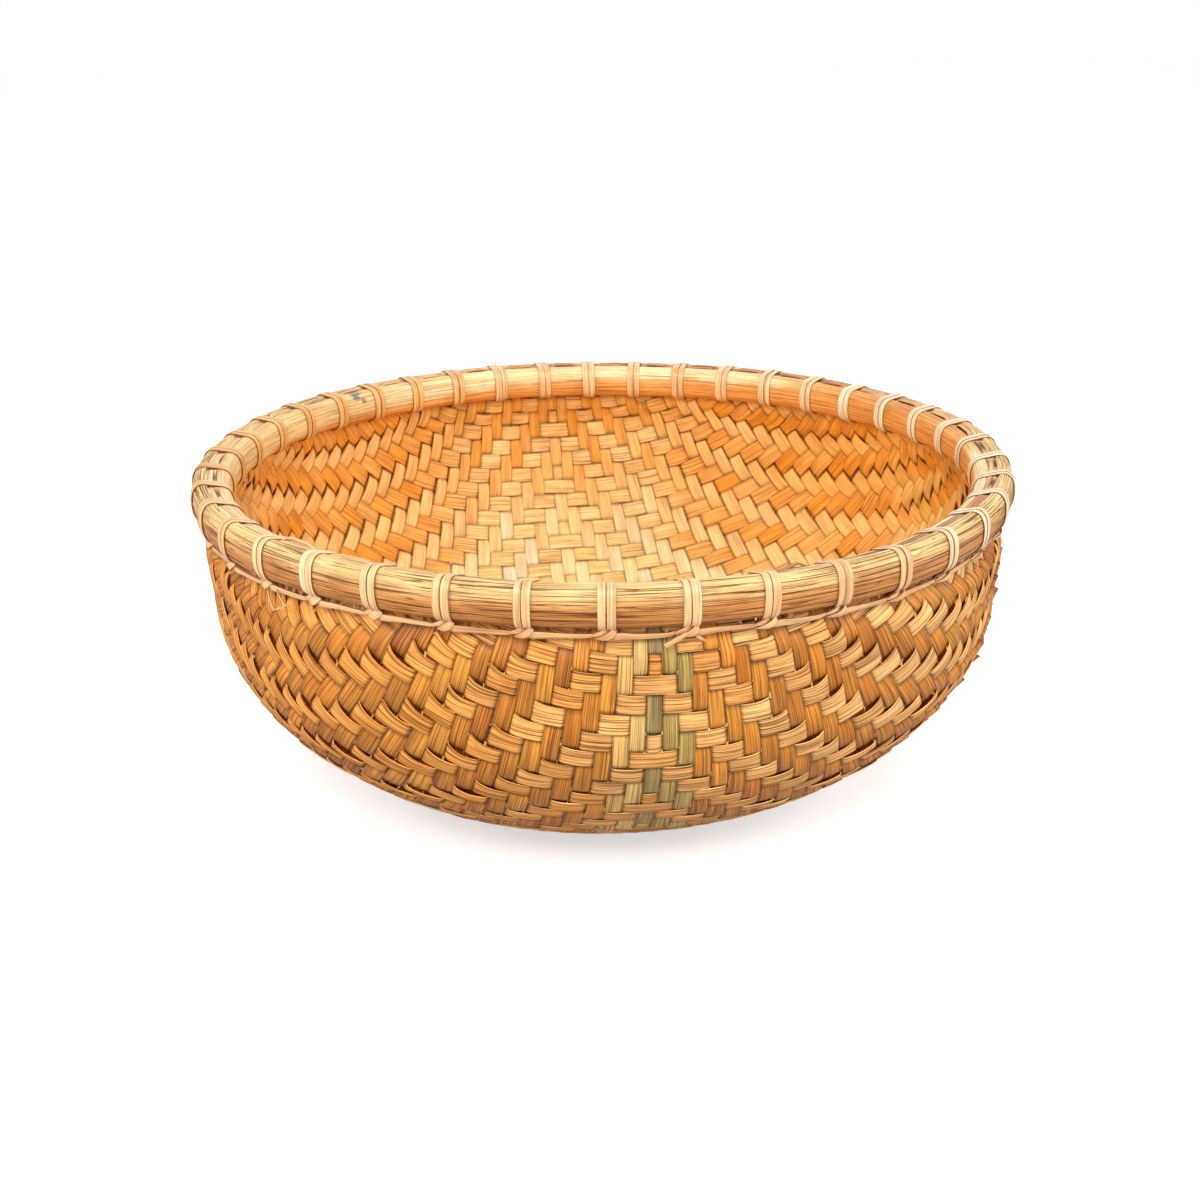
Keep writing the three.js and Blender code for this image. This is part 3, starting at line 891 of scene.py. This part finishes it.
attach(splint_ends, "root")
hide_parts("woven_bowl")


# The binding strand
# A strand of the same cane runs round below the outer hoop. At each lashing it comes up from below
# across the two turns, goes on flat to the next lashing, and tucks in there between its turns.
hoop_foot = rim_middle - hoop_half
strand_radius = 0.2045
strand_tip_down = -0.25
strand_strips = []


def strand_lay(span, sag):
    """The flat run, the tuck and the hitch between one lashing and the next.

    A point holds how far it is along the rim, above the hoop's foot and out, and the width there."""
    flat_run = [(0.0014, -0.0032, 0.2056, 0.0033), (0.0034, -0.0033, 0.2062, 0.0035),
                (0.0070, -0.0034, 0.2057, 0.0034), (span * 0.35, -0.0036 - sag, 0.2050, 0.0029),
                (span * 0.7, -0.0037 - sag, 0.2048, 0.0024), (span - 0.0064, -0.0033, 0.2051, 0.0019),
                (span - 0.0044, -0.0026, 0.2057, 0.0017)]
    tuck = [(span - 0.0058, -0.0032, 0.2056, 0.0010), (span - 0.0041, -0.0024, 0.2065, 0.0020),
            (span - 0.0018, -0.0013, 0.2073, 0.0024), (span + 0.0004, -0.0003, 0.2066, 0.0022)]
    hitch = [(-0.0043, -0.0051, 0.2042, 0.0006), (-0.0029, -0.0045, 0.2057, 0.0017),
             (-0.0007, -0.0034, 0.2077, 0.0030), (0.0014, -0.0021, 0.2083, 0.0035),
             (0.0028, -0.0010, 0.2075, 0.0032), (0.0035, -0.0002, 0.2064, 0.0026)]
    return [flat_run, tuck, hitch]


loose_ends = {
    24: [[(0.0006, -0.0042, 0.2064, 0.0012), (0.0030, -0.0078, 0.2074, 0.0013),
          (0.0056, -0.0112, 0.2078, 0.0012), (0.0074, -0.0130, 0.2078, 0.0008)],
         [(0.0080, -0.0124, 0.2078, 0.0008), (0.0115, -0.0108, 0.2080, 0.0009),
          (0.0155, -0.0098, 0.2078, 0.0003)],
         [(0.0070, -0.0034, 0.2058, 0.0008), (0.0105, -0.0052, 0.2072, 0.0009),
          (0.0150, -0.0082, 0.2076, 0.0006), (0.0180, -0.0090, 0.2076, 0.0002)]],
    30: [[(-0.0010, -0.0028, 0.2076, 0.0020), (-0.0045, -0.0046, 0.2080, 0.0024),
          (-0.0078, -0.0064, 0.2080, 0.0025), (-0.0104, -0.0078, 0.2078, 0.0025)],
         [(0.0030, -0.0046, 0.2062, 0.0018), (0.0050, -0.0060, 0.2068, 0.0015),
          (0.0070, -0.0071, 0.2072, 0.0004)]],
}


def smooth_path(points, stops):
    """A smooth line that passes through every point."""
    p = np.asarray(points, float)
    p = np.concatenate([p[:1] * 2 - p[1:2], p, p[-1:] * 2 - p[-2:-1]])
    t = np.linspace(0, len(p) - 3 - 1e-9, stops)
    k = t.astype(int)
    f = (t - k)[:, None]
    a, b, c, d = p[k], p[k + 1], p[k + 2], p[k + 3]
    squared, cubed = 2 * a - 5 * b + 4 * c - d, 3 * b - a - 3 * c + d
    return 0.5 * (2 * b + (c - a) * f + squared * f ** 2 + cubed * f ** 3)


for number in range(lashing_count):
    here, there = lashing_angle(number), lashing_angle(number + 1)
    span = (there - here) * strand_radius
    sag = chance.uniform(-0.0003, 0.0006)
    tint = mixed(cane_pale, cane_pink, chance.uniform(0.4, 1.2))
    for path in strand_lay(span, sag) + loose_ends.get(number, []):
        stops = smooth_path(path, 8 * len(path))
        angle = here + stops[:, 0] / strand_radius
        sway, rise = rim_sway(angle)
        outward = np.stack([np.cos(angle), np.sin(angle), np.full(len(angle), strand_tip_down)], -1)
        radius = stops[:, 2] + sway
        height = hoop_foot + stops[:, 1] + rise
        centre = np.stack([radius * np.cos(angle), radius * np.sin(angle), height], -1)
        strand_strips.append(flat_cane(centre, outward, stops[:, 3], tint * chance.uniform(0.95, 1.02)))
strand = strips_to_object("binding_cane_strand", strand_strips)
strand.data.materials.append(cane_finish)
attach(strand, "root")
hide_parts("binding_strand")


# The studio
# A white floor that runs out of the picture, a pale sky, four soft lamps, one of them behind, and the
# camera of the photograph. The floor and the sky look whiter to the camera than to the basket.
floor_tone, floor_tone_seen, floor_glow_seen = 0.55, 0.80, 0.55
sky_light, sky_seen = 0.55, 1.0
bpy.ops.object.select_all(action="DESELECT")
bpy.ops.mesh.primitive_plane_add(size=12, location=(0, 0, -0.0002))
floor = bpy.context.object
floor.name = "floor"
floor_finish, floor_tree, floor_shader = new_finish("pale_floor")
by_camera = node(floor_tree, "ShaderNodeLightPath").outputs["Is Camera Ray"]
for socket, value in (
        ("Base Color", moved_range(floor_tree, by_camera, (0.0, 1.0), (floor_tone, floor_tone_seen))),
        ("Roughness", 0.9),
        ("Specular IOR Level", 0.0),
        ("Emission Color", (1, 1, 1, 1)),
        ("Emission Strength", maths(floor_tree, "MULTIPLY", by_camera, floor_glow_seen))):
    feed(floor_tree, floor_shader.inputs[socket], value)
floor.data.materials.append(floor_finish)

world = bpy.data.worlds.new("studio")
bpy.context.scene.world = world
world.use_nodes = True
sky_tree = world.node_tree
sky = sky_tree.nodes["Background"]
sky.inputs["Color"].default_value = (1, 1, 1, 1)
by_camera = node(sky_tree, "ShaderNodeLightPath").outputs["Is Camera Ray"]
feed(sky_tree, sky.inputs["Strength"], moved_range(sky_tree, by_camera, (0.0, 1.0), (sky_light, sky_seen)))


def soft_lamp(name, place, size, power):
    bpy.ops.object.light_add(type="AREA", location=place)
    lamp = bpy.context.object
    lamp.name = name
    lamp.data.size = size
    lamp.data.energy = power
    aim = mathutils.Vector((0, 0, 0.08)) - lamp.location
    lamp.rotation_euler = aim.to_track_quat("-Z", "Y").to_euler()


soft_lamp("key_lamp", (-0.3, -1.15, 1.25), 0.8, 20)
soft_lamp("right_lamp", (1.3, -0.6, 0.7), 1.0, 12)
soft_lamp("left_lamp", (-1.3, -0.5, 0.6), 1.0, 8.5)
soft_lamp("back_lamp", (0.3, 1.4, 0.8), 1.2, 5)

# In pixels of the photograph: half its width, its focal length, and where the middle of the rim is.
photo_half = 600
photo_focal = 1711
rim_column, rim_row = 603.5, 467
camera_distance = 0.9
camera_azimuth = math.radians(-7.5)
camera_rise = math.radians(16.3)
camera_tip = math.atan((photo_half - rim_row) / photo_focal)
camera_swing = math.atan((rim_column - photo_half) / photo_focal)
camera_roll = math.radians(0.5)
bpy.ops.object.camera_add(location=(
    camera_distance * math.sin(camera_azimuth) * math.cos(camera_rise),
    -camera_distance * math.cos(camera_azimuth) * math.cos(camera_rise),
    rim_middle + camera_distance * math.sin(camera_rise)))
camera = bpy.context.object
camera.name = "photo_camera"
facing = mathutils.Matrix.Rotation(camera_azimuth + camera_swing, 3, "Z")
tilted = mathutils.Matrix.Rotation(math.pi / 2 - camera_rise - camera_tip, 3, "X")
rolled = mathutils.Matrix.Rotation(-camera_roll, 3, "Z")
camera.rotation_euler = (facing @ tilted @ rolled).to_euler()
camera.data.sensor_fit = "HORIZONTAL"
camera.data.angle = 2 * math.atan(photo_half / photo_focal)
camera.data.clip_start = 0.01
bpy.context.scene.camera = camera
bpy.context.scene.view_settings.view_transform = "Standard"
